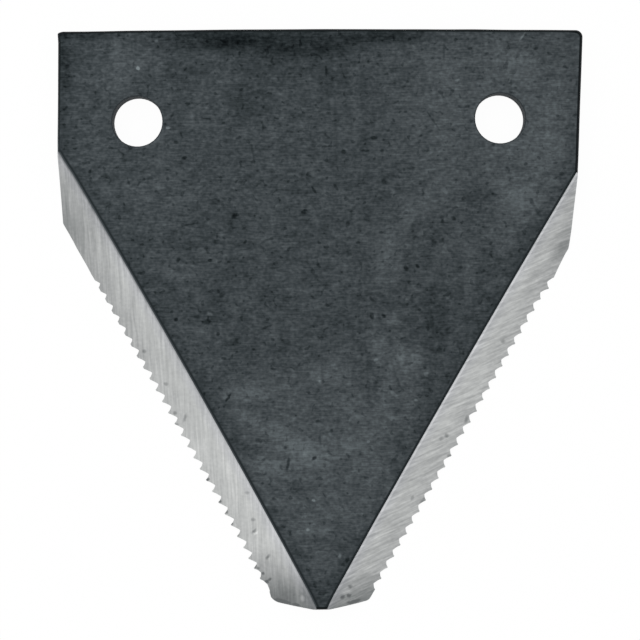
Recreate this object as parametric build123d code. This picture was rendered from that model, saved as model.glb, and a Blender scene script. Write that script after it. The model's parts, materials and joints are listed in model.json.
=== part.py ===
from build123d import *
from dataclasses import dataclass
import math
import os

# Serrated knife section for a mower or combine knife: one sheared, ground and grooved steel plate.
# Millimetres, +Z up. The plate lies on its flat underside at Z = 0 with the ground bevels up, the
# back edge towards +Y and the nose towards -Y. The origin is midway between the two bolt holes,
# on the underside. Reaches are measured from the hole row along Y, and angles are in degrees.

# Plate blank: the width and reaches are those of the top face, which is the larger one, out to
# its corners before they are rolled over
thickness = 3.0
body_width = 76.1        # across the plate at the hole row
back_reach = 13.27       # to the back edge, on the centre line
back_bow = 0.26          # rise of the back edge above the line between its corners
back_tilt = 0.33         # fall of the back edge towards the right
nose_reach = 71.34       # to the nose edge, on the centre line
nose_bow = 0.4
nose_tilt = 0.2          # the nose edge is nearer to the holes at its right end
left_side_lean = -0.85   # how much each side closes in towards the nose
right_side_lean = 2.5
shear_draft = 11.0       # lean of the sheared walls, in towards the underside
rollover = 0.28          # rounding that the shear leaves along the top edge

# Corners of the underside outline
back_left_radius = 0.25
back_right_radius = 0.5
left_corner_radius = 0.6
right_corner_radius = 1.0
left_shoulder_radius = 1.5
right_shoulder_radius = 0.9

# Bolt holes
hole_diameter = 7.3
hole_spacing = 52.8
hole_rollover = 0.15

# Cutting edges, on the underside: where each leaves its side, and its angle to the centre line
left_corner_reach = 14.6
right_corner_reach = 19.0
left_edge_angle = 28.6
right_edge_angle = 30.2
edge_land = 0.1          # blunt height left at the cutting edge

# Ground bevels: the width seen from above, and how much the wheel widens it half-way along
left_bevel_start = 5.1
left_bevel_nose = 5.4
right_bevel_start = 5.03
right_bevel_nose = 5.1
left_bevel_hollow = 0.3
right_bevel_hollow = 0.2

# Serration: grooves in the underside that run out through the cutting edge
tooth_pitch = 1.892      # along the edge
groove_gap = 0.06        # flat left between two grooves of full depth
groove_run = 7.0         # how far in from the edge a groove fades out
groove_skew = 10.0       # turn of a groove from square to the edge
groove_root_radius = 0.14
left_groove_depth = 0.62 # at the cutting edge
right_groove_depth = 0.51
left_first_depth = 0.4   # the first groove of a flank is shallower
right_first_depth = 0.5
left_run_in = 11         # grooves until the full depth is reached
right_run_in = 3
left_first_groove = 10.09 # from the corner to the middle of the first groove
right_first_groove = 5.66
left_last_room = 2.2     # at least this much edge after the last groove
right_last_room = 1.9

# Cutting tools: how far the wheel runs on past both ends of an edge, and the room beside a cut
wheel_overrun = 15.0
clear = 1.0

# Worked out from the values above
draft_inset = thickness * math.tan(math.radians(shear_draft))
underside_half_width = body_width / 2 - draft_inset
underside_back_reach = back_reach - draft_inset
underside_nose_reach = nose_reach - draft_inset


@dataclass
class CuttingEdge:
    """One flank of the blade, on the left (side -1) or the right (side 1) of the centre line."""

    side: int
    side_lean: float
    corner_reach: float
    angle: float
    bevel_start: float
    bevel_nose: float
    bevel_hollow: float
    groove_depth: float
    first_depth: float
    run_in: int
    first_groove: float
    last_room: float

    @property
    def slope(self):
        return math.tan(math.radians(self.angle))

    @property
    def corner(self):
        """Where the cutting edge leaves the side of the plate."""
        return side_point(self.side, self.side_lean, self.corner_reach)

    @property
    def shoulder(self):
        """Where the line of the cutting edge meets the nose edge."""
        reach = underside_nose_reach - nose_bow
        tilt = self.side * math.tan(math.radians(nose_tilt))
        axis_x = abs(self.corner.X) + self.corner_reach * self.slope
        meet = (reach - tilt * axis_x) / (1 - tilt * self.slope)
        return Vector(self.side * (axis_x - meet * self.slope), -meet)

    @property
    def length(self):
        return (self.shoulder - self.corner).length


def side_point(side, lean, reach):
    """Point of an underside side line at a reach from the hole row."""
    return Vector(side * (underside_half_width - reach * math.tan(math.radians(lean))), -reach)


def back_corner(side, lean):
    """Underside corner between a side and the tilted back edge."""
    chord = underside_back_reach - back_bow
    tilt = math.tan(math.radians(back_tilt))
    inward = math.tan(math.radians(lean))
    reach = (side * underside_half_width * tilt - chord) / (1 + side * inward * tilt)
    return side_point(side, lean, reach)


left_edge = CuttingEdge(
    side=-1,
    side_lean=left_side_lean,
    corner_reach=left_corner_reach,
    angle=left_edge_angle,
    bevel_start=left_bevel_start,
    bevel_nose=left_bevel_nose,
    bevel_hollow=left_bevel_hollow,
    groove_depth=left_groove_depth,
    first_depth=left_first_depth,
    run_in=left_run_in,
    first_groove=left_first_groove,
    last_room=left_last_room,
)
right_edge = CuttingEdge(
    side=1,
    side_lean=right_side_lean,
    corner_reach=right_corner_reach,
    angle=right_edge_angle,
    bevel_start=right_bevel_start,
    bevel_nose=right_bevel_nose,
    bevel_hollow=right_bevel_hollow,
    groove_depth=right_groove_depth,
    first_depth=right_first_depth,
    run_in=right_run_in,
    first_groove=right_first_groove,
    last_room=right_last_room,
)


def underside_outline():
    """Outline of the underside, with each corner rounded by its own radius."""
    back_left = back_corner(-1, left_side_lean)
    back_right = back_corner(1, right_side_lean)
    outline = make_face(
        [
            Line(left_edge.corner, back_left),
            ThreePointArc(back_left, (0, underside_back_reach), back_right),
            Line(back_right, right_edge.corner),
            Line(right_edge.corner, right_edge.shoulder),
            ThreePointArc(right_edge.shoulder, (0, -underside_nose_reach), left_edge.shoulder),
            Line(left_edge.shoulder, left_edge.corner),
        ]
    )
    roundings = (
        (back_left, back_left_radius),
        (back_right, back_right_radius),
        (left_edge.corner, left_corner_radius),
        (right_edge.corner, right_corner_radius),
        (left_edge.shoulder, left_shoulder_radius),
        (right_edge.shoulder, right_shoulder_radius),
    )
    for corner, radius in roundings:
        outline = fillet(outline.vertices().sort_by_distance(corner)[0], radius)
    return outline


def top_face(plate):
    return plate.faces().sort_by(Axis.Z)[-1]


def sheared_plate():
    """Blank with its two punched holes, wider at the top and rolled over along its top edges."""
    plate = extrude(underside_outline(), thickness, taper=-shear_draft)
    for side in (-1, 1):
        hole = Cylinder(hole_diameter / 2, 2 * thickness + clear)
        plate -= Pos(side * hole_spacing / 2, 0, thickness / 2) * hole
    plate = fillet(top_face(plate).outer_wire().edges(), rollover)
    hole_rims = [rim for wire in top_face(plate).inner_wires() for rim in wire.edges()]
    return fillet(hole_rims, hole_rollover)


def bevel_cutter(edge):
    """What the wheel grinds off a flank, in the edge's frame: x to the nose, y inwards, z up.

    It starts on the straight cutting edge and ends on the bowed line across the top face.
    """
    near_end, far_end = -wheel_overrun, edge.length + wheel_overrun
    outside = -(draft_inset + clear)

    def width(along):
        share = along / edge.length
        straight = edge.bevel_start + (edge.bevel_nose - edge.bevel_start) * share
        return straight + edge.bevel_hollow * (1 - (2 * share - 1) ** 2)

    def section(height):
        rise = (height - edge_land) / (thickness - edge_land)
        ends = [(near_end, rise * width(near_end)), (far_end, rise * width(far_end))]
        middle = (edge.length / 2, rise * width(edge.length / 2))
        inner = ThreePointArc(ends[0], middle, ends[1]) if rise else Line(*ends)
        rim = Polyline(ends[1], (far_end, outside), (near_end, outside), ends[0])
        return Pos(0, 0, height) * make_face([inner, *rim.edges()])

    return loft([section(edge_land), section(thickness + clear)], ruled=True)


def groove_cutter(edge, along, depth):
    """One serration groove, in the edge's frame: a V with a round root that fades out inwards."""
    skew = math.radians(groove_skew)
    inward = Vector(math.sin(skew), math.cos(skew), 0)
    up = Vector(0, 0, 1)
    flank = (tooth_pitch * math.cos(skew) - groove_gap) / 2 / edge.groove_depth
    fall = depth / groove_run
    apex = depth + fall * clear
    foot = (apex + clear) * flank
    v_shape = make_face(Polyline((0, apex), (-foot, -clear), (foot, -clear), close=True))
    v_shape = fillet(v_shape.vertices().sort_by(Axis.Y)[-1], groove_root_radius)
    start = Vector(along, 0, 0) - inward * clear
    profile = Plane(origin=start, x_dir=up.cross(inward), z_dir=inward) * v_shape
    return extrude(profile, groove_run + 2 * clear, dir=inward - up * fall)


def groove_cutters(edge):
    """All grooves of a flank, in the edge's frame, growing to their full depth."""
    count = int((edge.length - edge.first_groove - edge.last_room) / tooth_pitch) + 1
    cutters = []
    for index in range(count):
        grown = min(1.0, index / edge.run_in)
        depth = edge.first_depth + (edge.groove_depth - edge.first_depth) * grown
        cutters.append(groove_cutter(edge, edge.first_groove + index * tooth_pitch, depth))
    return cutters


def flank_cutters(edge):
    """Bevel and grooves of a flank, set at its cutting edge."""
    turn = math.radians(edge.angle)
    corner = Vector(-abs(edge.corner.X), edge.corner.Y)
    frame = Plane(origin=corner, x_dir=(math.sin(turn), -math.cos(turn), 0), z_dir=(0, 0, 1))
    cutters = [frame * cutter for cutter in [bevel_cutter(edge), *groove_cutters(edge)]]
    if edge.side > 0:
        cutters = [mirror(cutter, Plane.YZ) for cutter in cutters]
    return cutters


def knife_section():
    plate = sheared_plate()
    for edge in (left_edge, right_edge):
        plate -= flank_cutters(edge)
    return plate


os.makedirs("parts", exist_ok=True)
export_step(knife_section(), "parts/knife_section.step")
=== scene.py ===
import bmesh
import bpy
import json
import math
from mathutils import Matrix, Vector
from mathutils.geometry import intersect_point_line


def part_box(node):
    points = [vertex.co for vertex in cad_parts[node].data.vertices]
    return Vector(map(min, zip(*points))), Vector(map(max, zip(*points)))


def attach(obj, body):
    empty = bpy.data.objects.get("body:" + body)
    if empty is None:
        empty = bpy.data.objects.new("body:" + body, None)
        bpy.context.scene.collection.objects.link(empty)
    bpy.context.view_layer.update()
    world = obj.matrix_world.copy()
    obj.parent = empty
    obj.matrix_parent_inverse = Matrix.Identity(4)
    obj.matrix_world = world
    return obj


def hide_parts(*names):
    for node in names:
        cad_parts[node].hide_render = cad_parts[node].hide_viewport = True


# A serrated knife section, seen from straight above: a hardened steel plate with dark rolled faces,
# two bright ground bevels and cutting edges that are serrated from below. Metres, as the frame is;
# patterns and marks are laid out in millimetres on the blade.

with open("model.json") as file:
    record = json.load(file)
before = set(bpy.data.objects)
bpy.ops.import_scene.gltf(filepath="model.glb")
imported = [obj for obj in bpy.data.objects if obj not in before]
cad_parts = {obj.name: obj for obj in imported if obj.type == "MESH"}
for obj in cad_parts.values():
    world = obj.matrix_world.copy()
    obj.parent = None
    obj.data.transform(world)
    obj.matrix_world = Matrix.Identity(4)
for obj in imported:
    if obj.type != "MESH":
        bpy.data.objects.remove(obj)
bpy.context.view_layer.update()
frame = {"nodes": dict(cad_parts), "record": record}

MM = 0.001
NODE = "knife_section"
LOW, HIGH = (Vector(corner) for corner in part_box(NODE))
MOUNTS = {mount["name"]: mount for mount in frame["record"]["mounts"]}
HOLES = [Vector(MOUNTS[name]["pos_m"]) for name in ("left_hole", "right_hole")]
HOLE_RADIUS = MOUNTS["left_hole"]["dims"]["r_mm"] * MM

# Camera: straight above the blade, turned a little, so near that the top face looks larger than the
# underside
CAMERA_OVER = (-0.07 * MM, -29.12 * MM)
CAMERA_ABOVE_FACE = 260 * MM
CAMERA_TURN = math.radians(-0.502)
VIEW_WIDTH = 93.06 * MM        # what the square image spans at the top face
SENSOR = 36.0                  # mm, Blender's own full width
NEAREST_SEEN = 0.01            # metres from the camera

# Light level: an even sky, one soft lamp to the upper left of the view, and a white paper floor
SKY_STRENGTH = 0.8
LAMP_WATTS = 1.8
LAMP_SIZE = 0.6
LAMP_PLACE = Vector((-0.45, 0.35, 0.6))
FLOOR_REACH = 1.5
FLOOR_DROP = 0.02 * MM         # room under the blade, so that the two faces don't coincide
FLOOR_GLOW = 0.97              # how much of its white the floor shows of itself to the camera

# Parts of the surface, each with its own finish. The top face is three zones of one finish, because
# one shader can't hold the marks of the whole face. Each zone has its range along Y
FACE_BACK, FACE_MIDDLE, FACE_NOSE = range(3)
BEVEL_LEFT, BEVEL_RIGHT, RIM, WALL, HOLE_WALL, UNDERSIDE, GROOVE = range(3, 10)
FACE_ZONES = {
    FACE_BACK: (-7.0 * MM, 20.0 * MM),
    FACE_MIDDLE: (-26.0 * MM, -7.0 * MM),
    FACE_NOSE: (-80.0 * MM, -26.0 * MM),
}
LEVEL_FACE = 0.9995            # Z of a normal from which a face counts as level
BEVEL_RISE = (0.80, 0.93)      # range of the Z of a ground bevel's normal
BEVEL_ALIKE = 0.995            # how nearly the faces of one bevel point the same way, as a cosine
GROOVE_FALL = -0.3             # Z of a normal below which a sloping face is part of a groove
ROLL_RISE = 0.02               # Z of a normal above which a side face is part of the rolled-over rim
HOLE_BORDER = 0.5 * MM         # width of the punched and rolled-over ring around a hole
NOSE_REACH = 71.34             # mm from the hole row to the nose edge, before it is rolled over

# Serration: the pitch along the edge, the lean of the gullets and their number, and for each flank
# where its edge leaves the side, the edge's turn from the centre line, the middle of the first gullet,
# how far the cutter drew the teeth to points, and how far it dragged the gullets along
TOOTH_PITCH = 1.892 * MM
GULLET_LEAN = math.radians(10)
GULLETS = 28
TOOTH_FROM = 3.4               # mm out from the ridge where the shaping of the teeth begins
TOOTH_RISE = 1.2               # mm over which it grows to its full amount
FLANKS = {
    BEVEL_LEFT: (Vector((-37.68, -14.60)) * MM, math.radians(28.6), 10.09 * MM, 0.40, 0.08),
    BEVEL_RIGHT: (Vector((36.64, -19.00)) * MM, math.radians(30.2), 5.66 * MM, 0.60, 0.03),
}
# Places where the blade strays from its drawing: x, y, reach, and the shift along X and Y, in mm
STRAYS = [
    (-0.9, -71.0, 1.6, -0.16, 0.0),    # the face is wider at the nose
    (0.5, -71.0, 1.6, 0.16, 0.0),
    (-37.9, -5.4, 3.0, 0.0, -0.30),    # the left bevel starts lower
    (-10.2, -64.4, 2.0, -0.28, 0.12),  # the last left teeth stand closer, and the gullets get shallow
    (-8.6, -66.9, 3.2, -0.42, 0.48),
    (-8.5, -66.3, 0.8, -0.30, 0.0),
    (-7.6, -68.0, 0.9, -0.38, 0.10),
    (-8.0, -69.0, 0.9, 0.34, -0.10),
    (35.7, -19.6, 3.0, -0.20, 0.0),    # the right corner is worn round
    (33.5, -24.5, 2.2, 0.28, -0.10),
]
# The back left corner, which the shear left sharper than the rest: its place, and how far around
# it and by what share the rounded outline is led towards it
SHARP_CORNER = Vector((LOW.x, HIGH.y - 0.25 * MM))
SHARP_REACH = 1.0 * MM
SHARP_SHARE = 0.75
# How far the teeth and the sheared outline stray from the drawing, as shop work does
SHEAR_FROM = 0.8               # mm inside the ridges where the outline begins to stray
WANDER = {
    "Teeth per metre": 1 / (1.6 * MM),
    "Tooth wander": 0.11 * MM,
    "Shear waves per metre": 1 / (7 * MM),
    "Shear wander": 0.10 * MM,
    "Seed": 7.0,
}

# Mesh
SLICE = 1.2 * MM               # spacing of the cuts that let the sheared outline and teeth wander
STRIP = 0.75 * MM              # cuts beside the ridges, so that the lines along them stay even
TOOTH_CUTS = 3                 # new points on each straight edge of a gullet
GULLET_EDGE = 0.1 * MM         # shortest edge of a gullet that gets them
MERGE = 0.0005 * MM            # points nearer than this are one
SNAP = 0.03 * MM               # a cut runs through the points that are this near to it
SLIVER = 0.003 * MM            # edges shorter than this are closed up
FLAT_BEND = math.radians(0.1)  # faces that meet at less than this are one flat
CRISP_BEND = math.radians(24)  # edges that bend by more than this are shaded as sharp

GREYS = 128                    # grey levels that the finishes' tone ramps span, of 255


def linear(code):
    """Linear RGBA of an sRGB hex colour."""
    parts = [int(code[i : i + 2], 16) / 255 for i in (1, 3, 5)]
    return tuple(p / 12.92 if p <= 0.04045 else ((p + 0.055) / 1.055) ** 2.4 for p in parts) + (1.0,)


def add(tree, kind, links=None, **settings):
    """Add a node with its settings, and set or link its inputs, given by name or by place."""
    node = tree.nodes.new(kind)
    for name, value in settings.items():
        setattr(node, name, value)
    for name, value in (links or {}).items():
        if isinstance(name, int):
            socket = node.inputs[name]
        else:
            socket = next(s for s in node.inputs if s.enabled and s.name == name)
        if isinstance(value, bpy.types.Node):
            value = next(output for output in value.outputs if output.enabled)
        if isinstance(value, bpy.types.NodeSocket):
            tree.links.new(value, socket)
        else:
            socket.default_value = value
    return node


def flat(vector):
    """The X and Y of a vector."""
    return Vector((vector.x, vector.y))


def merged_blade():
    """The CAD plate with its loose triangles merged and its flats made whole."""
    blade = bmesh.new()
    blade.from_mesh(frame["nodes"][NODE].data)
    bmesh.ops.remove_doubles(blade, verts=blade.verts, dist=MERGE)
    bmesh.ops.dissolve_limit(blade, angle_limit=FLAT_BEND, verts=blade.verts, edges=blade.edges)
    blade.normal_update()
    return blade


def bevel_directions(blade):
    """Outward direction of each ground bevel, from the largest sloping face on its side."""
    least, most = BEVEL_RISE
    sloping = [face for face in blade.faces if least < face.normal.z < most]
    directions = {}
    for region, side in ((BEVEL_LEFT, -1), (BEVEL_RIGHT, 1)):
        own = [face for face in sloping if face.normal.x * side > 0]
        directions[region] = flat(max(own, key=lambda face: face.calc_area()).normal).normalized()
    return directions


def region_of(face, directions):
    """Which part of the surface a face belongs to.

    The whole top face is FACE_BACK here. The narrow level land along a cutting edge is part of its
    bevel."""
    normal = face.normal
    middle = face.calc_center_median()
    if normal.z > LEVEL_FACE and middle.z > (LOW.z + HIGH.z) / 2:
        return FACE_BACK
    if normal.z > LEVEL_FACE:
        return BEVEL_LEFT if middle.x < 0 else BEVEL_RIGHT
    if normal.z < -LEVEL_FACE:
        return UNDERSIDE
    if min(flat(middle - hole).length for hole in HOLES) < HOLE_RADIUS + HOLE_BORDER:
        return HOLE_WALL
    if BEVEL_RISE[0] < normal.z < BEVEL_RISE[1]:
        for region, direction in directions.items():
            if flat(normal).normalized().dot(direction) > BEVEL_ALIKE:
                return region
    if normal.z < GROOVE_FALL:
        return GROOVE
    return RIM if normal.z > ROLL_RISE else WALL


def lines_beside_face(blade):
    """Ends of every edge between the top face and each bevel or the rounded rim."""
    lines = {BEVEL_LEFT: [], BEVEL_RIGHT: [], RIM: []}
    for edge in blade.edges:
        regions = {face.material_index for face in edge.link_faces}
        if FACE_BACK in regions:
            for region in regions & set(lines):
                lines[region].append([flat(vert.co) for vert in edge.verts])
    return lines


def cut(blade, point, normal):
    """Cut the blade through by a plane."""
    geometry = blade.verts[:] + blade.edges[:] + blade.faces[:]
    bmesh.ops.bisect_plane(blade, geom=geometry, dist=SNAP, plane_co=point, plane_no=normal)


def cut_up(blade, directions, lines):
    """Cut the blade across and beside its ridges, so that its long edges and flats can be shaped."""
    for side, outward in directions.items():
        for offset in (-STRIP, STRIP):
            cut(blade, (lines[side][0][0] + outward * offset).to_3d(), outward.to_3d())
    for axis in (0, 1):
        normal = Vector((1 - axis, axis, 0))
        for index in range(1, int((HIGH[axis] - LOW[axis]) / SLICE) + 1):
            cut(blade, LOW + normal * index * SLICE, normal)
    gullets = [
        edge
        for edge in blade.edges
        if {GROOVE} < {face.material_index for face in edge.link_faces}
        and edge.calc_length() > GULLET_EDGE
    ]
    bmesh.ops.bisect_edges(blade, edges=gullets, cuts=TOOTH_CUTS)


def way_to(point, line):
    """Way in mm from a point to the nearest place on a line of short straight edges."""
    ways = []
    for start, end in line:
        share = intersect_point_line(point, start, end)[1]
        ways.append((start.lerp(end, min(1, max(0, share))) - point) / MM)
    return min(ways, key=lambda way: way.length)


def sharpened(point):
    """A point of the blade, led towards the sharp corner where it is near to it."""
    away = flat(point) - SHARP_CORNER
    pull = SHARP_SHARE * max(0, 1 - away.length / SHARP_REACH)
    return point - away.to_3d() * pull


def tooth_draw(point):
    """Shift along a cutting edge that narrows the teeth to their points and opens the gullets."""
    side, flank = (1, BEVEL_RIGHT) if point.x > 0 else (-1, BEVEL_LEFT)
    corner, turn, first, strength, drag = FLANKS[flank]
    along = Vector((-side * math.sin(turn), -math.cos(turn)))
    inward = Vector((-side * math.cos(turn), math.sin(turn)))
    away = flat(point) - corner
    teeth = (away.dot(along) - first - away.dot(inward) * math.tan(GULLET_LEAN)) / TOOTH_PITCH
    if not -0.5 < teeth < GULLETS - 0.5:
        return Vector((0, 0, 0))
    narrowed = strength * math.sin(math.tau * teeth) / math.tau
    dragged = drag * (1 + math.cos(math.tau * teeth)) / 2
    return (along * (narrowed + dragged) * TOOTH_PITCH).to_3d()


def stray(point):
    """Shift of a point by the listed strays of the blade."""
    shift = Vector((0, 0, 0))
    for x, y, reach, along_x, along_y in STRAYS:
        away = (flat(point) - Vector((x, y)) * MM).length / (reach * MM)
        shift += Vector((along_x, along_y, 0)) * MM * max(0, 1 - away)
    return shift


def blade_mesh():
    """Mesh of the blade, with its regions, and what the finishes and the wear need at each vertex.

    The rooms are in mm: from the nearer ridge, below 0 on the bevel's side of it, and from the rim of
    the top face. The shares are of the wander of the teeth and of the sheared outline."""
    blade = merged_blade()
    directions = bevel_directions(blade)
    for face in blade.faces:
        face.material_index = region_of(face, directions)
    lines = lines_beside_face(blade)
    cut_up(blade, directions, lines)
    for face in blade.faces:
        if face.material_index == FACE_BACK:
            reach = face.calc_center_median().y
            face.material_index = next(
                zone for zone, (low, high) in FACE_ZONES.items() if low < reach < high
            )
    ridge = blade.verts.layers.float.new("ridge_room")
    rim = blade.verts.layers.float.new("rim_room")
    tooth = blade.verts.layers.float.new("tooth_share")
    sheared = blade.verts.layers.float.new("sheared_share")
    for vert in blade.verts:
        point = flat(vert.co)
        rooms = []
        for side, outward in directions.items():
            way = way_to(point, lines[side])
            rooms.append(way.length * (1 if way.dot(outward) > 0 else -1))
        vert[ridge] = min(rooms)
        vert[rim] = way_to(point, lines[RIM]).length
        vert[tooth] = min(1, max(0, (-vert[ridge] - TOOTH_FROM) / TOOTH_RISE))
        outer = {RIM, WALL} & {face.material_index for face in vert.link_faces}
        vert[sheared] = 1.0 if outer and vert[ridge] > SHEAR_FROM else 0.0
        vert.co = sharpened(vert.co + stray(vert.co) + tooth_draw(vert.co) * vert[tooth])
    bmesh.ops.triangulate(blade, faces=blade.faces, ngon_method="BEAUTY")
    bmesh.ops.dissolve_degenerate(blade, dist=SLIVER, edges=blade.edges)
    region = blade.faces.layers.int.new("region")
    for face in blade.faces:
        face[region] = face.material_index
        face.smooth = True
    mesh = bpy.data.meshes.new("blade")
    blade.to_mesh(mesh)
    blade.free()
    return mesh


def wandering(tree, position, per_metre, reach, share, seed):
    """Sideways offset from smooth noise, with its waves per metre and its reach, times a share that
    each vertex holds."""
    noise = add(
        tree,
        "ShaderNodeTexNoise",
        {"Vector": position, "W": seed, "Scale": per_metre, "Detail": 0.0},
        noise_dimensions="4D",
    )
    centred = add(
        tree, "ShaderNodeVectorMath", {0: noise.outputs["Color"], 1: (0.5, 0.5, 0.5)}, operation="SUBTRACT"
    )
    level = add(tree, "ShaderNodeVectorMath", {0: centred, 1: (1, 1, 0)}, operation="MULTIPLY")
    held = add(tree, "GeometryNodeInputNamedAttribute", {"Name": share}, data_type="FLOAT")
    amount = add(tree, "ShaderNodeMath", {0: held, 1: reach}, operation="MULTIPLY")
    return add(tree, "ShaderNodeVectorMath", {0: level, 3: amount}, operation="SCALE")


def shop_work_tree(finishes):
    """Tree that roughens the sheared outline and the teeth, and gives each region its finish."""
    tree = bpy.data.node_groups.new("sheared_and_serrated", "GeometryNodeTree")
    tree.interface.new_socket("Blade", in_out="INPUT", socket_type="NodeSocketGeometry")
    for name in WANDER:
        tree.interface.new_socket(name, in_out="INPUT", socket_type="NodeSocketFloat")
    tree.interface.new_socket("Blade", in_out="OUTPUT", socket_type="NodeSocketGeometry")
    given = tree.nodes.new("NodeGroupInput")
    position = add(tree, "GeometryNodeInputPosition")
    teeth = wandering(
        tree,
        position,
        given.outputs["Teeth per metre"],
        given.outputs["Tooth wander"],
        "tooth_share",
        given.outputs["Seed"],
    )
    outline = wandering(
        tree,
        position,
        given.outputs["Shear waves per metre"],
        given.outputs["Shear wander"],
        "sheared_share",
        given.outputs["Seed"],
    )
    offset = add(tree, "ShaderNodeVectorMath", {0: teeth, 1: outline}, operation="ADD")
    shaped = add(
        tree, "GeometryNodeSetPosition", {"Geometry": given.outputs["Blade"], "Offset": offset}
    )
    angle = add(tree, "GeometryNodeInputMeshEdgeAngle")
    sharp = add(
        tree, "FunctionNodeCompare", {"A": angle, "B": CRISP_BEND}, operation="GREATER_THAN"
    )
    stage = add(
        tree,
        "GeometryNodeSetShadeSmooth",
        {"Geometry": shaped, "Selection": sharp, "Shade Smooth": False},
        domain="EDGE",
    )
    stage = add(tree, "GeometryNodeRealizeInstances", {"Geometry": stage})
    region = add(tree, "GeometryNodeInputNamedAttribute", {"Name": "region"}, data_type="INT")
    for index, finish in finishes.items():
        own = add(
            tree, "FunctionNodeCompare", {"A": region, "B": index}, data_type="INT", operation="EQUAL"
        )
        stage = add(
            tree,
            "GeometryNodeSetMaterial",
            {"Geometry": stage, "Selection": own, "Material": finish},
        )
    result = tree.nodes.new("NodeGroupOutput")
    tree.links.new(stage.outputs["Geometry"], result.inputs["Blade"])
    return tree


def finished_blade(finishes):
    """The blade as one plain mesh piece, shaped and given its finishes by the tree."""
    blade = bpy.data.objects.new("blade", blade_mesh())
    bpy.context.collection.objects.link(blade)
    tree = shop_work_tree(finishes)
    modifier = blade.modifiers.new("shop_work", "NODES")
    modifier.node_group = tree
    for socket in tree.interface.items_tree:
        if socket.name in WANDER:
            modifier[socket.identifier] = WANDER[socket.name]
    weighted = blade.modifiers.new("flats", "WEIGHTED_NORMAL")
    weighted.keep_sharp = True
    weighted.weight = 90
    evaluated = blade.evaluated_get(bpy.context.evaluated_depsgraph_get())
    plain = bpy.data.meshes.new_from_object(evaluated)
    plain.name = "blade"
    blade.modifiers.clear()
    blade.data = plain
    return blade


def new_finish(name):
    """A material with its shader, and its place on the blade in millimetres."""
    material = bpy.data.materials.new(name)
    material.use_nodes = True
    tree = material.node_tree
    shader = tree.nodes["Principled BSDF"]
    place = add(tree, "ShaderNodeTexCoord")
    millimetres = add(
        tree, "ShaderNodeMapping", {"Vector": place.outputs["Object"], "Scale": (1000, 1000, 1000)}
    )
    return material, tree, shader, millimetres


def with_noise(tree, level, place, layers):
    """Add noise layers to a level: (feature size in mm along X, Y and Z, turn, detail, strength)."""
    for size, turn, detail, strength in layers:
        grain = add(
            tree,
            "ShaderNodeMapping",
            {"Vector": place, "Rotation": (0, 0, math.radians(turn)), "Scale": size},
            vector_type="TEXTURE",
        )
        noise = add(tree, "ShaderNodeTexNoise", {"Vector": grain, "Scale": 1.0, "Detail": detail})
        centred = add(tree, "ShaderNodeMath", {0: noise, 1: 0.5}, operation="SUBTRACT")
        level = add(
            tree, "ShaderNodeMath", {0: centred, 1: strength, 2: level}, operation="MULTIPLY_ADD"
        )
    return level


def with_marks(tree, level, place, marks, core):
    """Add marks to a level: (x, y, turn, half length, half width, strength), in mm and degrees.

    Each keeps its strength over the core's share of its size and fades to nothing at its rim."""
    for x, y, turn, length, width, strength in marks:
        own = add(
            tree,
            "ShaderNodeMapping",
            {
                "Vector": place,
                "Location": (x, y, 0),
                "Rotation": (0, 0, math.radians(turn)),
                "Scale": (length, width, 1000),
            },
            vector_type="TEXTURE",
        )
        ball = add(tree, "ShaderNodeTexGradient", {"Vector": own}, gradient_type="SPHERICAL")
        spot = add(
            tree,
            "ShaderNodeMapRange",
            {
                "Value": ball.outputs["Fac"],
                "From Min": 0.0,
                "From Max": 1.0 - core,
                "To Min": 0.0,
                "To Max": strength / GREYS,
            },
            interpolation_type="SMOOTHSTEP",
        )
        level = add(tree, "ShaderNodeMath", {0: level, 1: spot}, operation="ADD")
    return level


def rough_place(tree, place, size, reach):
    """The place on the blade, shaken by noise so that marks get a torn outline."""
    noise = add(
        tree, "ShaderNodeTexNoise", {"Vector": place, "Scale": 1 / size, "Detail": 2.0}
    )
    centred = add(
        tree, "ShaderNodeVectorMath", {0: noise.outputs["Color"], 1: (0.5, 0.5, 0.5)}, operation="SUBTRACT"
    )
    return add(
        tree,
        "ShaderNodeVectorMath",
        {0: centred, 1: (reach, reach, 0), 2: place},
        operation="MULTIPLY_ADD",
    )


def toned(tree, level, stops):
    """Colour of a level from 0 to 1, through stops of (level, hex colour)."""
    ramp = add(tree, "ShaderNodeValToRGB", {"Fac": level})
    elements = ramp.color_ramp.elements
    while len(elements) < len(stops):
        elements.new(0.5)
    for element, (position, code) in zip(elements, stops):
        element.position = position
        element.color = linear(code)
    return ramp


def between(tree, value, start, end, low, high):
    """A value led from one range to another and held at its ends."""
    return add(
        tree,
        "ShaderNodeMapRange",
        {"Value": value, "From Min": start, "From Max": end, "To Min": low, "To Max": high},
    )


def by_side(tree, across, left, right):
    """A value for the left half of the blade that turns into one for the right half in the middle."""
    return between(tree, across, -1.0, 1.0, left, right)


def line_beside(tree, level, room, start, end, depth):
    """Lead a level to a fixed one where the room to a line is below a start, fading by an end."""
    share = between(tree, room, start, end, 1.0, 0.0)
    return add(tree, "ShaderNodeMix", {"Factor": share, "A": level, "B": depth}, data_type="FLOAT")


FACE_GREY = 70.0               # mean grey of the top face, out of 255
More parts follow.
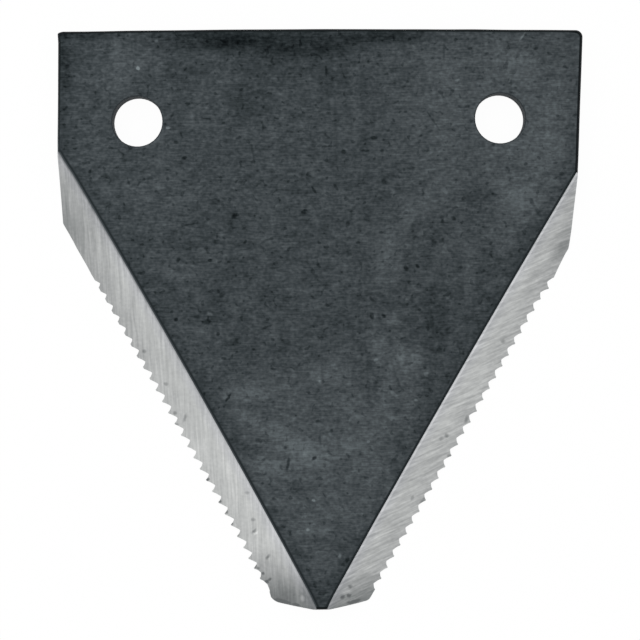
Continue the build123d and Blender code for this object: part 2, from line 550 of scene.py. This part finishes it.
# Marks on the top face: x, y, turn, half length, half width, strength in grey levels
SCALE_CLOUDS = [
    (-37.6, 4.7, 90, 13.1, 2.3, -11),
    (-28.5, 8.6, 0, 4.9, 4.9, 7),
    (24.9, -0.3, 0, 21.8, 20.4, 11),
    (18.4, 6.3, 0, 4.7, 4.1, 4),
    (25.7, 9.3, 0, 4.4, 4.1, 4),
    (30.1, 7.0, 0, 3.5, 4.4, 10),
    (33.6, 0.4, 0, 3.8, 4.9, 6),
    (32.6, -4.7, 0, 4.9, 4.1, 11),
    (29.2, -12.7, 0, 4.9, 3.5, 10),
    (35.1, 6.9, 90, 8.7, 2.6, 4),
    (-20.4, 2.0, 0, 3.5, 2.3, -6),
    (1.7, 5.5, 0, 2.9, 2.3, -9),
    (3.0, -5.2, 0, 2.6, 2.0, -3),
    (10.6, -8.1, 34, 4.1, 1.7, -6),
    (5.9, -13.5, 0, 2.9, 2.0, -3),
    (-19.6, -17.3, 0, 13.1, 2.0, -4),
    (-13.0, -14.2, 0, 2.9, 2.3, -8),
    (-12.4, -21.4, 0, 2.9, 2.3, -5),
    (-15.3, -26.1, 0, 2.9, 2.9, -7),
    (-17.5, -28.7, 0, 4.7, 1.7, -4),
    (23.1, -11.1, 0, 4.4, 2.9, -7),
    (16.9, -28.5, 90, 8.7, 2.9, -11),
    (21.8, -21.7, 90, 7.3, 1.7, 9),
    (8.0, -16.8, 0, 5.2, 3.8, 7),
    (9.9, -21.9, 60, 4.9, 2.9, 12),
    (12.5, -34.8, 0, 4.1, 3.2, 20),
    (8.3, -32.8, 100, 6.4, 2.0, 15),
    (5.6, -43.1, -42, 5.8, 1.7, 7),
    (1.3, -37.0, 0, 6.4, 2.3, 10),
    (-11.4, -39.8, 0, 4.7, 2.0, 19),
    (-8.6, -44.2, -20, 6.4, 1.9, 11),
    (-3.1, -48.3, -26, 6.7, 2.5, 15),
    (3.8, -47.5, 20, 7.3, 2.0, 8),
    (-8.2, -50.0, -12, 4.4, 2.0, 9),
    (-10.1, -47.6, -24, 3.8, 1.2, -10),
    (-0.5, -43.7, 0, 5.2, 3.2, -5),
    (-5.4, -56.3, -14, 4.7, 1.7, 3),
    (-2.2, -59.2, -20, 4.4, 2.0, 8),
    (-0.4, -64.0, 90, 7.3, 3.8, 5),
    (-0.2, -49.5, 0, 21.8, 18.9, 13),
    (-23.2, -10.7, 0, 10.2, 3.8, 6),
    (-2.6, 8.7, 0, 13.1, 4.4, -7),
    (-11.5, -8.7, 0, 8.7, 2.3, -2),
    (-2.8, -6.6, 0, 4.9, 2.3, 5),
    (10.9, -16.9, 52, 10.2, 2.0, 7),
    (18.3, -19.1, 58, 9.6, 1.2, 8),
    (-34.6, 9.7, 0, 5.2, 3.5, -9),
    (-36.2, -2.6, 90, 7.3, 2.0, -4),
    (-16.8, -33.3, 0, 7.3, 4.4, 3),
    (1.6, -1.5, 0, 10.2, 1.2, 4),
    (14.6, -12.5, 10, 6.4, 3.2, 7),
    (-8.1, -38.4, 0, 8.7, 2.3, 5),
    (9.3, -40.1, 60, 7.3, 1.7, 7),
    (12.6, -39.4, 90, 5.8, 1.7, 8),
    (-20.4, -21.4, 0, 5.8, 2.9, 4),
    (-16.4, 12.0, 0, 11.63, 2.62, -26),
    (-4.1, 11.3, 0, 18.18, 2.91, -24),
    (-34.3, 12.5, 0, 7.27, 1.16, -20),
    (10.8, 12.2, 0, 8.72, 1.74, -18),
    (-10.0, 3.7, 90, 6.54, 4.36, -9),
    (-18.7, 6.7, 0, 5.82, 2.33, -8),
    (30.6, -10.8, 0, 6.69, 4.94, 10),
    (26.2, -17.1, 0, 4.36, 2.91, 8),
    (10.5, -29.4, 0, 1.89, 1.74, 16),
    (11.2, -32.1, 90, 2.04, 1.45, 8),
    (1.8, -34.9, 0, 1.74, 1.45, 8),
    (-17.5, -26.1, 0, 2.04, 1.45, 7),
    (-26.4, -17.7, 60, 2.04, 1.45, -6),
    (-13.9, -28.7, 0, 2.04, 1.45, -6),
    (9.9, -49.6, 0, 1.45, 1.45, -6),
    (1.1, -59.7, 0, 2.33, 1.74, 4),
    (-3.2, -53.8, 0, 4.94, 1.89, -10),
    (9.9, -41.1, 90, 5.82, 1.45, 8),
    (-12.4, -46.5, -60, 2.33, 1.16, -9),
    (-36.7, 7.6, 90, 5.82, 1.74, -9),
]
SCALE_PITS = [
    (-2.3, -13.4, 0, 0.49, 0.42, -27),
    (8.0, -2.7, 0, 0.67, 0.41, -36),
    (17.8, -14.4, -74, 0.61, 0.38, -24),
    (-0.8, -10.2, -56, 0.80, 0.29, -28),
    (12.5, -21.7, -70, 0.64, 0.41, -28),
    (-21.0, -28.9, 0, 0.44, 0.41, -39),
    (-1.1, -49.2, 35, 0.58, 0.35, -48),
    (7.5, -28.6, -80, 0.73, 0.41, -31),
    (13.5, -7.1, 8, 0.76, 0.41, -18),
    (-16.0, -20.3, 0, 0.47, 0.38, -41),
    (14.2, -21.4, -34, 0.47, 0.35, -31),
    (9.4, -9.1, -60, 0.73, 0.49, -22),
    (-4.9, -50.0, 82, 1.38, 0.29, -27),
    (30.9, -12.2, -62, 1.02, 0.41, -20),
    (-12.4, -13.9, 20, 0.64, 0.49, -27),
    (3.6, -4.7, 0, 0.52, 0.47, -26),
    (-9.2, -46.5, -9, 0.73, 0.52, -16),
    (16.6, -17.9, 75, 0.70, 0.58, -21),
    (3.6, -64.0, 60, 0.64, 0.47, -25),
    (-12.3, -32.2, 52, 0.70, 0.52, -26),
    (20.4, -21.7, 23, 0.49, 0.35, -22),
    (-13.5, -40.3, 58, 0.95, 0.26, -44),
    (19.5, -14.5, -46, 0.55, 0.38, -24),
    (-15.1, -17.6, 0, 0.73, 0.49, -17),
    (2.4, -9.8, -58, 0.87, 0.32, -22),
    (9.2, -28.6, -44, 0.49, 0.38, -30),
    (11.2, -3.5, -58, 1.09, 0.32, -12),
    (21.9, -8.1, 65, 0.55, 0.38, -19),
    (-4.2, -1.7, -6, 0.87, 0.29, -22),
    (25.7, -11.3, -37, 0.95, 0.41, -17),
    (-19.6, -5.4, 20, 0.55, 0.38, -31),
    (6.4, -2.9, 0, 1.02, 0.38, -14),
    (-14.9, -31.0, 0, 0.38, 0.38, -30),
    (-13.1, -28.4, 0, 0.80, 0.44, -12),
    (-1.6, -8.7, -57, 0.73, 0.32, -14),
    (7.0, -14.6, -19, 0.79, 0.38, -16),
    (9.0, 9.2, 0, 0.52, 0.44, -20),
    (-20.6, -20.2, 65, 0.67, 0.38, -28),
    (12.2, 4.7, 14, 1.02, 0.28, -20),
    (9.0, 5.0, 50, 0.52, 0.29, -17),
    (-18.1, -28.5, 0, 1.16, 0.35, -15),
    (-15.0, -11.8, -26, 0.87, 0.64, -11),
    (-1.4, -46.3, -39, 1.16, 0.38, -10),
    (35.3, -8.2, 0, 0.64, 0.41, -23),
    (-7.9, -30.1, 22, 1.60, 0.25, -18),
    (-15.2, -26.4, 60, 0.95, 0.67, -11),
    (4.1, -15.2, 70, 0.67, 0.44, -18),
    (-20.8, -3.1, 0, 0.49, 0.38, -21),
    (22.5, 2.1, 14, 1.02, 0.32, -9),
    (11.2, -38.2, -70, 1.02, 0.32, -12),
    (0.8, -33.8, 6, 0.73, 0.32, -10),
    (19.4, 3.9, 58, 0.80, 0.32, -22),
    (-24.6, -8.3, 0, 0.58, 0.38, -17),
    (11.2, -33.6, 72, 0.87, 0.58, -14),
    (31.8, -13.7, -55, 1.02, 0.44, -21),
    (8.0, -38.2, 30, 0.73, 0.38, -17),
    (16.6, -0.2, -56, 2.18, 0.22, -17),
    (-21.3, 0.9, 60, 0.87, 0.25, -18),
    (28.0, 5.1, 85, 0.73, 0.29, -16),
    (27.4, 7.9, 85, 1.31, 0.29, -17),
    (-9.7, -4.3, -80, 1.60, 0.25, -14),
    (22.1, 10.2, 20, 0.52, 0.29, -23),
    (18.3, 10.0, 88, 1.89, 0.29, -11),
    (14.4, -3.5, 48, 0.87, 0.29, -18),
    (6.5, -4.5, 8, 0.87, 0.29, -15),
    (9.2, -4.6, 0, 0.44, 0.35, -26),
    (-16.6, -29.3, 0, 0.87, 0.44, -18),
    (-36.5, 8.1, 0, 0.52, 0.41, -21),
    (-14.3, -25.4, 50, 0.87, 0.58, -16),
    (16.2, -29.3, -86, 2.04, 0.38, -10),
    (17.3, -33.6, -70, 0.87, 0.58, -13),
]
PALE_SPECKS = [
    (-26.2, 7.7, 0, 0.41, 0.35, 51),
    (-23.5, 11.7, 0, 0.44, 0.29, 33),
    (-20.9, 11.5, 0, 0.35, 0.26, 17),
    (-21.9, -1.0, -10, 0.47, 0.28, 45),
    (20.2, 5.6, 12, 0.58, 0.23, 31),
    (15.3, -37.1, 74, 0.55, 0.47, 29),
    (13.8, -40.9, -30, 0.41, 0.32, 27),
    (-2.1, -59.6, 0, 0.38, 0.32, 38),
    (6.8, -46.9, 0, 0.35, 0.29, 33),
    (-1.2, -55.3, 0, 0.35, 0.29, 41),
    (2.5, -63.5, 56, 0.52, 0.32, 22),
    (-0.1, -38.1, -20, 0.49, 0.32, 29),
    (-6.7, -54.1, 14, 0.64, 0.29, 15),
    (18.6, -26.1, 39, 0.44, 0.29, 18),
    (8.0, -35.0, 39, 0.47, 0.29, 24),
    (-3.9, -37.2, 10, 0.67, 0.38, 20),
    (10.1, -50.4, 0, 0.44, 0.29, 12),
    (14.6, -16.7, 13, 0.95, 0.49, 18),
    (18.1, -18.8, 65, 0.87, 0.47, 12),
    (12.8, -26.0, 54, 1.02, 0.38, 19),
    (-14.5, -16.5, -10, 0.67, 0.49, 17),
    (-16.1, -28.1, -8, 0.67, 0.32, 27),
    (29.8, 11.9, 54, 1.02, 0.19, 26),
    (10.6, -40.0, -43, 1.02, 0.38, 16),
    (-9.2, 4.4, 0, 0.32, 0.26, 17),
]


def marks_near(marks, zone, stray):
    """The marks that reach into a zone along Y, when each may stray from its place, all in mm."""
    low, high = (end / MM for end in FACE_ZONES[zone])
    return [mark for mark in marks if low < mark[1] + mark[3] + stray and mark[1] - mark[3] - stray < high]


def scaled_face(zone):
    """Hot-rolled boron steel, hardened in oil: dark satin scale, with fine dashes along the rolling
    direction, cloudy patches, rolled-in pits and pale specks where the scale is chipped."""
    material, tree, shader, place = new_finish("hot_rolled_boron_steel_scaled")
    texture = with_noise(
        tree,
        0.5,
        place,
        [
            ((1.6, 0.22, 1), 0, 1.0, 32 / GREYS),    # rolled dashes, drawn coarser than they are
            ((0.55, 0.45, 1), 0, 1.0, 48 / GREYS),   # grain of the scale
            ((1.5, 1.1, 1), 0, 1.0, 38 / GREYS),     # mottle
            ((5.0, 3.5, 1), 0, 1.0, 20 / GREYS),     # clouds left by the quench
        ],
    )
    specked = add(tree, "ShaderNodeTexNoise", {"Vector": place, "Scale": 1 / 0.7, "Detail": 0.0})
    small_pits = between(tree, specked, 0.30, 0.24, 0.0, -16 / GREYS)
    texture = add(tree, "ShaderNodeMath", {0: texture, 1: small_pits}, operation="ADD")
    level = add(tree, "ShaderNodeMath", {0: texture, 1: (FACE_GREY / GREYS) - 0.5}, operation="ADD")
    torn = rough_place(tree, place, 2.5, 1.4)
    crisp = rough_place(tree, place, 0.5, 0.25)
    level = with_marks(tree, level, torn, marks_near(SCALE_CLOUDS, zone, 0.7), 0.2)
    level = with_marks(tree, level, crisp, marks_near(SCALE_PITS + PALE_SPECKS, zone, 0.2), 0.35)
    room = add(tree, "ShaderNodeAttribute", attribute_name="ridge_room").outputs["Fac"]
    border = between(tree, room, 0.0, 2.6, -8 / GREYS, 0.0)
    level = add(tree, "ShaderNodeMath", {0: level, 1: border}, operation="ADD")
    axes = add(tree, "ShaderNodeSeparateXYZ", {"Vector": place})
    across = axes.outputs["X"]
    # A narrow black line runs along each ridge, sharp on the right. The left ridge is
    # a little rounded, so that its line lies further in, behind a paler one, which is a painted highlight
    # on the rounding
    start = by_side(tree, across, 0.34, 0.29)
    fade = by_side(tree, across, 0.58, 0.38)
    level = line_beside(tree, level, room, start, fade, 0.33)
    start = by_side(tree, across, 0.12, -0.2)
    fade = by_side(tree, across, 0.24, -0.1)
    level = line_beside(tree, level, room, start, fade, 0.58)
    # Painted shade: the face is darker beside the rolled-over rim, most on the right side, away from the
    # lamp, and hardly on the left
    rim = add(tree, "ShaderNodeAttribute", attribute_name="rim_room").outputs["Fac"]
    start = between(tree, across, 36.6, 37.4, 0.0, 0.10)
    fade = between(tree, across, -37.9, -37.4, 0.01, 0.20)
    level = line_beside(tree, level, rim, start, fade, 0.14)
    # Painted shade along the nose edge too
    nose = add(tree, "ShaderNodeMath", {0: axes.outputs["Y"], 1: NOSE_REACH}, operation="ADD")
    level = line_beside(tree, level, nose, 0.35, 0.5, 0.10)
    tone = toned(
        tree,
        level,
        [
            (0.05, "#0c0f11"),
            (0.20, "#181d1f"),
            (0.35, "#2a3032"),
            (0.52, "#3f4548"),
            (0.66, "#51575a"),
            (0.85, "#687073"),
            (1.00, "#7c8588"),
        ],
    )
    tree.links.new(tone.outputs["Color"], shader.inputs["Base Color"])
    shader.inputs["Metallic"].default_value = 1.0
    shader.inputs["Roughness"].default_value = 0.44
    bump = add(tree, "ShaderNodeBump", {"Height": texture, "Strength": 0.3, "Distance": 0.04 * MM})
    tree.links.new(bump.outputs["Normal"], shader.inputs["Normal"])
    return material


# Grey of each bevel along the blade, before the marks: y in mm, grey level out of 255
LEFT_GREYS = [
    (-71.5, 118),
    (-69.4, 121),
    (-65.8, 168),
    (-62.1, 187),
    (-50.0, 191),
    (-43.0, 187),
    (-33.0, 183),
    (-22.0, 182),
    (-18.5, 177),
    (-14.9, 165),
    (-7.0, 166),
]
RIGHT_GREYS = [
    (-71.5, 132),
    (-69.4, 140),
    (-65.8, 172),
    (-60.0, 180),
    (-50.0, 177),
    (-40.0, 182),
    (-30.0, 179),
    (-22.0, 180),
    (-16.0, 174),
    (-11.2, 169),
    (-7.0, 164),
]
# Marks on the bevels, as on the top face
LEFT_MARKS = [
    (-21.5, -42.6, 0, 0.5, 0.4, -40),
    (-20.0, -43.3, 70, 1.0, 0.35, -34),
    (-21.3, -44.3, 0, 0.5, 0.4, -36),
    (-22.7, -38.3, 0, 0.5, 0.4, -34),
    (-25.9, -33.5, 0, 0.5, 0.4, -34),
    (-10.0, -59.9, 45, 0.7, 0.3, -48),
    (-9.7, -60.2, 45, 0.7, 0.25, 22),
    (-8.0, -63.7, 55, 0.7, 0.3, -44),
    (-10.9, -54.2, 0, 0.5, 0.35, -30),
    (-10.1, -58.2, 0, 0.5, 0.4, -30),
    (-16.8, -52.4, 0, 0.45, 0.4, -70),
    (-15.0, -55.6, 0, 0.4, 0.35, -70),
    (-14.1, -57.2, 0, 0.45, 0.4, -70),
    (-13.4, -58.9, 0, 0.45, 0.35, -70),
    (-12.5, -60.5, 0, 0.45, 0.4, -70),
    (-10.0, -65.2, 0, 0.45, 0.4, -70),
    (-9.5, -65.5, 0, 0.4, 0.3, -40),
    (-8.8, -66.2, 0, 0.4, 0.3, -50),
    (-7.8, -67.1, 30, 0.5, 0.3, -45),
    (-8.2, -67.5, 0, 0.45, 0.35, -60),
    (-6.0, -70.3, -10, 1.5, 0.35, -70),
    (-3.9, -70.7, -8, 0.8, 0.3, -50),
    (-3.0, -69.7, 0, 0.5, 0.7, 34),
]
RIGHT_MARKS = [
    (18.3, -46.2, 0, 0.5, 0.45, -40),
    (17.5, -46.6, 0, 0.5, 0.45, -24),
    (26.7, -32.5, 0, 0.5, 0.45, -36),
    (13.2, -55.3, 70, 0.6, 0.3, -26),
    (14.7, -55.9, 20, 0.6, 0.35, -34),
    (15.0, -55.5, -45, 0.4, 0.3, -28),
    (21.3, -43.9, 75, 0.9, 0.35, -32),
    (18.8, -49.3, 0, 0.6, 0.5, -38),
    (4.0, -68.0, 0, 0.5, 0.4, -44),
    (3.8, -69.4, 0, 0.5, 0.4, -52),
    (2.9, -69.6, 30, 0.5, 0.4, -46),
    (3.4, -68.8, 0, 1.3, 0.5, 18),
    (4.4, -70.4, 8, 1.4, 0.35, -64),
    (35.8, -18.5, 20, 2.0, 1.2, -16),
    (34.6, -20.0, 20, 1.8, 0.9, -14),
    (31.5, -22.5, 20, 1.6, 0.7, -10),
]
GROUND_FROM = 100              # the grey that the ground steel's tone ramp starts from


def ground_level(tree, place, greys):
    """Level along the blade, through stops of (y, grey level)."""
    reach = add(tree, "ShaderNodeSeparateXYZ", {"Vector": place}).outputs["Y"]
    first, last = greys[0][0], greys[-1][0]
    share = between(tree, reach, first, last, 0.0, 1.0)
    ramp = add(tree, "ShaderNodeValToRGB", {"Fac": share})
    elements = ramp.color_ramp.elements
    while len(elements) < len(greys):
        elements.new(0.5)
    for element, (y, grey) in zip(elements, greys):
        level = (grey - GROUND_FROM) / GREYS
        element.position = (y - first) / (last - first)
        element.color = (level, level, level, 1)
    return ramp


def ground_bevel(name, greys, outer_falls, scores, marks, crest):
    """Surface-ground steel: bright, with the parallel scores of the wheel, duller towards the edge.

    Each outer fall is (y, change in grey levels at the cutting edge), and each crest line along the
    ridge is (room where it starts, room where it is full, (y, change), (y, change)), where the room
    to the ridge is below 0 on the bevel. Of each pair, the one nearer to the nose comes first."""
    material, tree, shader, place = new_finish(name)
    texture = with_noise(tree, ground_level(tree, place, greys), place, scores)
    room = add(tree, "ShaderNodeAttribute", attribute_name="ridge_room").outputs["Fac"]
    axes = add(tree, "ShaderNodeSeparateXYZ", {"Vector": place})
    (near, near_fall), (far, far_fall) = outer_falls
    fall = between(tree, axes.outputs["Y"], near, far, near_fall / GREYS, far_fall / GREYS)
    outer = between(tree, room, -5.4, -1.4, fall, 0.0)
    level = add(tree, "ShaderNodeMath", {0: texture, 1: outer}, operation="ADD")
    crisp = rough_place(tree, place, 0.5, 0.3)
    level = with_marks(tree, level, crisp, marks, 0.2)
    # Crest lines along the ridge: where they brighten it, a painted highlight on the edge of the ridge
    for start, end, (near, near_strength), (far, far_strength) in crest:
        own = between(
            tree, axes.outputs["Y"], near, far, near_strength / GREYS, far_strength / GREYS
        )
        line = between(tree, room, start, end, 0.0, own)
        level = add(tree, "ShaderNodeMath", {0: level, 1: line}, operation="ADD")
    tone = toned(
        tree,
        level,
        [
            (0.00, "#6f7273"),
            (0.23, "#909393"),
            (0.47, "#b1b3b3"),
            (0.70, "#d2d4d3"),
            (0.94, "#f3f4f3"),
            (1.00, "#fbfbfb"),
        ],
    )
    # Painted reflection: the burnished strip along the ridge is tinted a little bluer, as the sky it would
    # mirror
    strip = between(tree, room, -1.6, -0.3, 0.0, 1.0)
    tone = add(
        tree,
        "ShaderNodeMix",
        {"Factor": strip, "A": tone, "B": linear("#fbfbff")},
        data_type="RGBA",
        blend_type="MULTIPLY",
    )
    bluish = next(output for output in tone.outputs if output.enabled)
    tree.links.new(bluish, shader.inputs["Base Color"])
    shader.inputs["Metallic"].default_value = 1.0
    shader.inputs["Roughness"].default_value = 0.36
    bump = add(tree, "ShaderNodeBump", {"Height": texture, "Strength": 0.3, "Distance": 0.03 * MM})
    tree.links.new(bump.outputs["Normal"], shader.inputs["Normal"])
    return material


def plain_steel(name, tones, roughness, grain):
    """Sheared, milled or rolled steel, with grain that stretches the way it was worked."""
    material, tree, shader, place = new_finish(name)
    level = with_noise(tree, 0.5, place, grain)
    tone = toned(tree, level, tones)
    tree.links.new(tone.outputs["Color"], shader.inputs["Base Color"])
    shader.inputs["Metallic"].default_value = 1.0
    shader.inputs["Roughness"].default_value = roughness
    bump = add(tree, "ShaderNodeBump", {"Height": level, "Strength": 0.5, "Distance": 0.05 * MM})
    tree.links.new(bump.outputs["Normal"], shader.inputs["Normal"])
    return material


def dark_scale_and_painted_shade(name, tones, left_painted_light):
    """Iron oxide scale, which the punch and the shear drag over the rims: dull and not metallic. Its black
    is partly the scale and partly painted shade, standing for the dark surroundings that a rounded rim
    reflects.
    On the left side it is paler by painted light, towards the lamp."""
    material, tree, shader, place = new_finish(name)
    level = with_noise(tree, 0.3, place, [((0.8, 0.8, 2), 0, 2.0, 0.4)])
    across = add(tree, "ShaderNodeSeparateXYZ", {"Vector": place}).outputs["X"]
    # Painted light: the rim is made paler on the left side, towards the lamp
    left = between(tree, across, -38.0, -37.6, left_painted_light, 0.0)
    level = add(tree, "ShaderNodeMath", {0: level, 1: left}, operation="ADD")
    tone = toned(tree, level, tones)
    tree.links.new(tone.outputs["Color"], shader.inputs["Base Color"])
    shader.inputs["Specular IOR Level"].default_value = 0.2
    shader.inputs["Roughness"].default_value = 0.75
    bump = add(tree, "ShaderNodeBump", {"Height": level, "Strength": 0.4, "Distance": 0.05 * MM})
    tree.links.new(bump.outputs["Normal"], shader.inputs["Normal"])
    return material


def all_finishes():
    """The finish of each part of the surface."""
    left_scores = [
        ((7.0, 0.36, 4), 91, 1.0, 42 / GREYS),      # wheel scores
        ((3.0, 0.22, 4), 93, 1.0, 26 / GREYS),      # finer scores
        ((0.5, 0.4, 4), 0, 1.0, 20 / GREYS),        # grain
        ((5.0, 3.0, 4), 0, 1.0, 14 / GREYS),        # uneven wheel pressure
    ]
    # The same four on the right, where the wheel ran at a slant and cut deeper
    right_scores = [
        ((3.5, 0.40, 4), 21, 1.0, 56 / GREYS),
        ((1.8, 0.22, 4), 24, 1.0, 36 / GREYS),
        ((0.5, 0.4, 4), 0, 1.0, 20 / GREYS),
        ((5.0, 3.0, 4), 0, 1.0, 14 / GREYS),
    ]
    left_crest = [(-0.45, -0.25, (-62.0, 12), (-42.0, 0)), (-0.30, -0.02, (-40.0, -20), (-22.0, -50))]
    right_crest = [(-0.38, -0.28, (-62.0, 11), (-55.0, 21)), (-0.14, 0.0, (-62.0, -4), (-55.0, -10))]
    left_falls = [(-45.0, -5), (-12.0, -32)]
    right_falls = [(-30.0, -9), (-14.0, -32)]
    dark = [(0.2, "#171a1b"), (0.5, "#2b2f31"), (0.8, "#4a4f51")]
    torn = [(0.2, "#5d6162"), (0.5, "#8f9392"), (0.8, "#bcc0bf")]
    rim_tones = [(0.1, "#0f1213"), (0.5, "#1c2022"), (0.8, "#4a5053"), (1.0, "#5a6164")]
    hole_tones = [(0.1, "#23282b"), (0.5, "#353c40"), (0.9, "#4a5155")]
    return {
        **{zone: scaled_face(zone) for zone in FACE_ZONES},
        BEVEL_LEFT: ground_bevel(
            "ground_steel_left_flank", LEFT_GREYS, left_falls, left_scores, LEFT_MARKS, left_crest
        ),
        BEVEL_RIGHT: ground_bevel(
            "ground_steel_right_flank", RIGHT_GREYS, right_falls, right_scores, RIGHT_MARKS, right_crest
        ),
        # The rim's black is partly scale and partly painted shade, with painted light on its left side
        RIM: dark_scale_and_painted_shade("rim_scale_and_painted_shade", rim_tones, 0.5),
        # Bright torn streaks from the top of the plate to the bottom, the way the shear went
        WALL: plain_steel("sheared_steel", torn, 0.42, [((0.3, 0.3, 4), 0, 2.0, 1.0)]),
        # The hole walls' dark tone is partly scale and partly painted shade
        HOLE_WALL: dark_scale_and_painted_shade("hole_scale_and_painted_shade", hole_tones, 0.0),
        # Dark scale with dashes along the rolling direction, as on the top face, but unworn
        UNDERSIDE: plain_steel("hot_rolled_steel_underside", dark, 0.45, [((1.5, 0.3, 1), 0, 2.0, 0.8)]),
        # Bright fine lines left by the cutter
        GROOVE: plain_steel("milled_steel", torn, 0.35, [((0.15, 2.0, 1), 60, 2.0, 0.8)]),
    }


def studio():
    """Pale floor, even sky and one soft lamp from the upper left, to a plain light level."""
    mesh = bpy.data.meshes.new("floor")
    signs = [(-1, -1), (1, -1), (1, 1), (-1, 1)]
    corners = [(x * FLOOR_REACH, y * FLOOR_REACH, LOW.z - FLOOR_DROP) for x, y in signs]
    mesh.from_pydata(corners, [], [(0, 1, 2, 3)])
    floor = bpy.data.objects.new("floor", mesh)
    bpy.context.collection.objects.link(floor)
    paper = bpy.data.materials.new("white_paper_floor")
    paper.use_nodes = True
    tree = paper.node_tree
    tree.nodes.clear()
    path = add(tree, "ShaderNodeLightPath")
    seen = add(
        tree,
        "ShaderNodeMath",
        {0: path.outputs["Is Camera Ray"], 1: path.outputs["Is Glossy Ray"]},
        operation="MAXIMUM",
    )
    seen = add(
        tree, "ShaderNodeMath", {0: seen, 1: path.outputs["Is Transmission Ray"]}, operation="MAXIMUM"
    )
    white = add(tree, "ShaderNodeEmission", {"Color": linear("#ffffff"), "Strength": 1.0})
    lit = add(tree, "ShaderNodeBsdfDiffuse", {"Color": linear("#ffffff")})
    share = add(tree, "ShaderNodeMath", {0: seen, 1: FLOOR_GLOW}, operation="MULTIPLY")
    mixed = add(tree, "ShaderNodeMixShader", {0: share, 1: lit, 2: white})
    add(tree, "ShaderNodeOutputMaterial", {"Surface": mixed})
    mesh.materials.append(paper)

    world = bpy.data.worlds.new("even_sky")
    bpy.context.scene.world = world
    world.use_nodes = True
    tree = world.node_tree
    tree.nodes.clear()
    path = add(tree, "ShaderNodeLightPath")
    strength = add(
        tree,
        "ShaderNodeMapRange",
        {"Value": path.outputs["Is Camera Ray"], "To Min": SKY_STRENGTH, "To Max": 1.0},
    )
    sky = add(tree, "ShaderNodeBackground", {"Color": linear("#ffffff"), "Strength": strength})
    add(tree, "ShaderNodeOutputWorld", {"Surface": sky})

    lamp = bpy.data.lights.new("soft_lamp", "AREA")
    lamp.shape = "SQUARE"
    lamp.size = LAMP_SIZE
    lamp.energy = LAMP_WATTS
    holder = bpy.data.objects.new("soft_lamp", lamp)
    holder.location = LAMP_PLACE
    holder.rotation_euler = (-LAMP_PLACE).to_track_quat("-Z", "Y").to_euler()
    bpy.context.collection.objects.link(holder)


def photo_camera():
    """Camera that looks straight down, with the square view as wide as the photograph's."""
    camera = bpy.data.cameras.new("camera")
    camera.sensor_width = SENSOR
    camera.lens = SENSOR * CAMERA_ABOVE_FACE / VIEW_WIDTH
    camera.clip_start = NEAREST_SEEN
    holder = bpy.data.objects.new("camera", camera)
    holder.location = (*CAMERA_OVER, HIGH.z + CAMERA_ABOVE_FACE)
    holder.rotation_euler = (0, 0, CAMERA_TURN)
    bpy.context.collection.objects.link(holder)
    bpy.context.scene.camera = holder


blade = finished_blade(all_finishes())
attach(blade, "root")
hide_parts(NODE)

studio()
photo_camera()
bpy.context.scene.view_settings.view_transform = "Standard"
